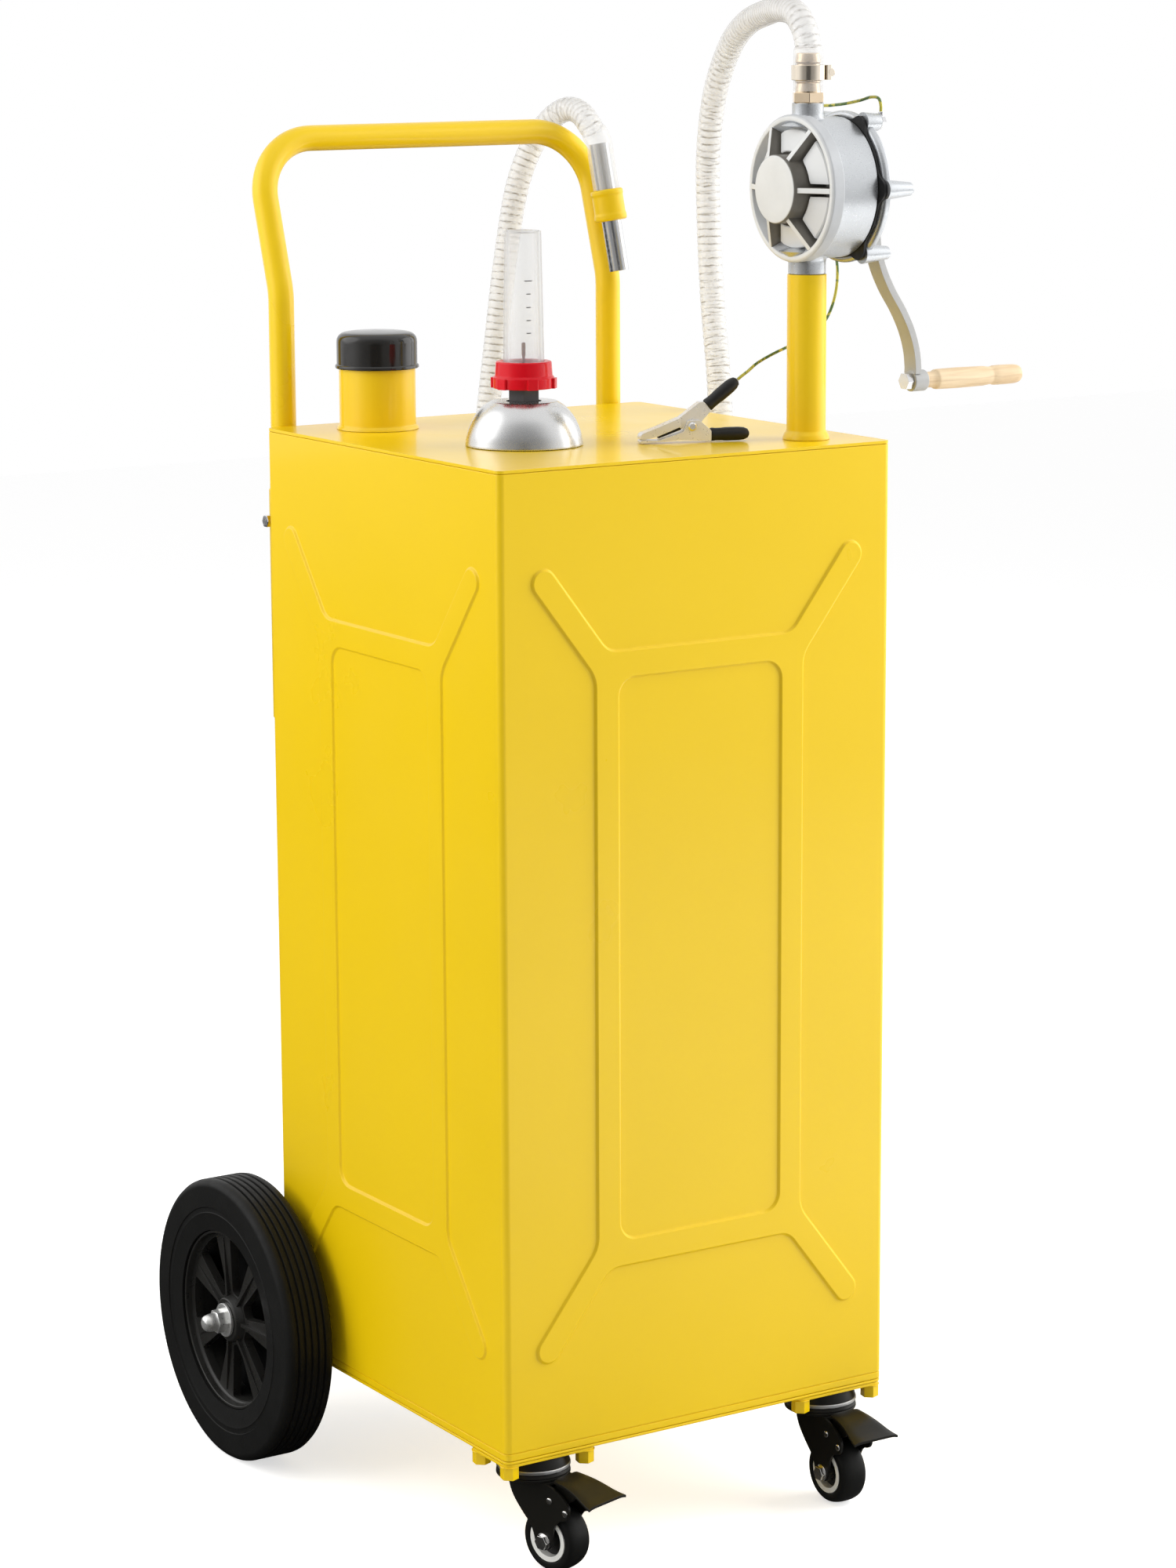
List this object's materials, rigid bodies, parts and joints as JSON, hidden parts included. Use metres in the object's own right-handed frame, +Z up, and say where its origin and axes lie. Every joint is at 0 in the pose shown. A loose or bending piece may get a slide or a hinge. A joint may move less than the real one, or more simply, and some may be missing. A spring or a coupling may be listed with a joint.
{
  "type": "fuel caddy",
  "caption": "Tall square steel fuel tank on spoked wheels and braked swivel casters, with push handle, filler, level gauge, hand-cranked rotary pump, ribbed hose and earthing clip.",
  "frame": {"origin": "centre of the tank's underside", "axes": "+X to the crank side, +Y to the push handle, +Z up; the wheels and casters stand on the floor at z = -0.1005"},
  "size_m": [0.626, 0.5712, 1.2762],
  "materials": {
    "yellow_paint": "gloss powder coat",
    "black_plastic": "satin moulded",
    "pointer_plastic": "gloss",
    "black_rubber": "matt",
    "tyre_rubber": "matt",
    "black_steel": "semi-gloss",
    "cast_aluminium": "satin cast",
    "white_aluminium": "satin painted",
    "zinc": "zinc plated",
    "bright_steel": "polished",
    "brass": "bright turned",
    "clear_plastic": "clear",
    "hose_plastic": "clear ribbed",
    "red_plastic": "gloss",
    "silver_dome": "silver gloss",
    "grey_metal": "dull",
    "wood": "clear varnish",
    "white_nylon": "matt",
    "wire_jacket": "satin"
  },
  "bodies": {
    "caddy": {"tank_wrap": "yellow_paint", "tank_top": "yellow_paint", "tank_bottom": "yellow_paint", "filler_neck": "yellow_paint", "gauge_boss": "yellow_paint", "gauge_dome": "silver_dome", "gauge_stem": "grey_metal", "gauge_nut": "red_plastic", "gauge_tube": "clear_plastic", "riser_pipe": "yellow_paint", "suction_tube": "zinc", "outlet_barb": "brass", "hose_clamp": "zinc", "pump_front_cover": "white_aluminium", "pump_body": "cast_aluminium", "pump_gasket": "black_rubber", "pump_rear_cover": "cast_aluminium", "shaft_gland": "zinc", "hose": "hose_plastic", "spout": "cast_aluminium", "spout_sleeve": "yellow_paint", "earth_lug": "zinc", "ground_wire": "wire_jacket", "clip_lower": "bright_steel", "clip_rivet": "bright_steel", "clip_grip_lower": "black_rubber", "handle_tube": "yellow_paint", "wheel_axle": "zinc", "handle_socket_left": "yellow_paint", "handle_socket_right": "yellow_paint", "handle_bolt_left": "zinc", "handle_bolt_right": "zinc", "axle_bracket_left": "yellow_paint", "axle_bracket_right": "yellow_paint", "wheel_nut_left": "bright_steel", "wheel_nut_right": "bright_steel", "caster_mount_left": "yellow_paint", "caster_mount_right": "yellow_paint"},
    "cap": {"filler_cap": "black_plastic"},
    "level_float": {"gauge_rod": "pointer_plastic", "gauge_float": "white_nylon"},
    "wheel_left": {"wheel_tyre_left": "tyre_rubber", "wheel_rim_left": "black_plastic"},
    "wheel_right": {"wheel_tyre_right": "tyre_rubber", "wheel_rim_right": "black_plastic"},
    "caster_left": {"caster_fork_left": "black_steel"},
    "caster_right": {"caster_fork_right": "black_steel"},
    "roller_left": {"caster_tyre_left": "tyre_rubber", "caster_hub_left": "white_nylon"},
    "roller_right": {"caster_tyre_right": "tyre_rubber", "caster_hub_right": "white_nylon"},
    "brake_left": {"caster_pedal_left": "black_steel"},
    "brake_right": {"caster_pedal_right": "black_steel"},
    "crank": {"crank_arm": "cast_aluminium", "grip_pin": "zinc", "pump_rotor": "zinc"},
    "grip": {"crank_grip": "wood"},
    "clip_jaw": {"clip_upper": "bright_steel", "clip_grip_upper": "black_rubber"}
  },
  "joints": [
    {"name": "wheel_left_spin", "type": "hinge", "parent": "caddy", "child": "wheel_left", "pos_m": [-0.225, 0.2, 0.0255], "axis": [1, 0, 0], "continuous": true},
    {"name": "wheel_right_spin", "type": "hinge", "parent": "caddy", "child": "wheel_right", "pos_m": [0.225, 0.2, 0.0255], "axis": [1, 0, 0], "continuous": true},
    {"name": "caster_left_swivel", "type": "hinge", "parent": "caddy", "child": "caster_left", "pos_m": [-0.146, -0.16, 0], "axis": [0, 0, 1], "continuous": true},
    {"name": "caster_right_swivel", "type": "hinge", "parent": "caddy", "child": "caster_right", "pos_m": [0.146, -0.16, 0], "axis": [0, 0, 1], "continuous": true},
    {"name": "caster_left_roll", "type": "hinge", "parent": "caster_left", "child": "roller_left", "pos_m": [-0.13883, -0.18499, -0.0725], "axis": [0.9613, 0.2756, 0], "continuous": true},
    {"name": "caster_right_roll", "type": "hinge", "parent": "caster_right", "child": "roller_right", "pos_m": [0.146, -0.186, -0.0725], "axis": [1, 0, 0], "continuous": true},
    {"name": "caster_left_brake", "type": "hinge", "parent": "caster_left", "child": "brake_left", "pos_m": [-0.13677, -0.1922, -0.0355], "axis": [0.9613, 0.2756, 0], "range_deg": [0, 9]},
    {"name": "caster_right_brake", "type": "hinge", "parent": "caster_right", "child": "brake_right", "pos_m": [0.146, -0.1935, -0.0355], "axis": [1, 0, 0], "range_deg": [0, 9]},
    {"name": "crank_spin", "type": "hinge", "parent": "caddy", "child": "crank", "pos_m": [0.2, -0.1415, 1.021], "axis": [1, 0, 0], "continuous": true},
    {"name": "grip_spin", "type": "hinge", "parent": "crank", "child": "grip", "pos_m": [0.31, -0.1415, 0.857], "axis": [1, 0, 0], "continuous": true},
    {"name": "cap_lift", "type": "slide", "parent": "caddy", "child": "cap", "axis": [0, 0, 1], "range_m": [0, 0.04]},
    {"name": "level_rise", "type": "slide", "parent": "caddy", "child": "level_float", "axis": [0, 0, 1], "range_m": [0, 0.065]},
    {"name": "clip_open", "type": "hinge", "parent": "caddy", "child": "clip_jaw", "pos_m": [0.04579, -0.10787, 0.8286], "axis": [0.3404, 0.9403, 0], "range_deg": [0, 20], "stiffness_Nm_per_rad": 0.06, "springref_deg": -22.92}
  ]
}
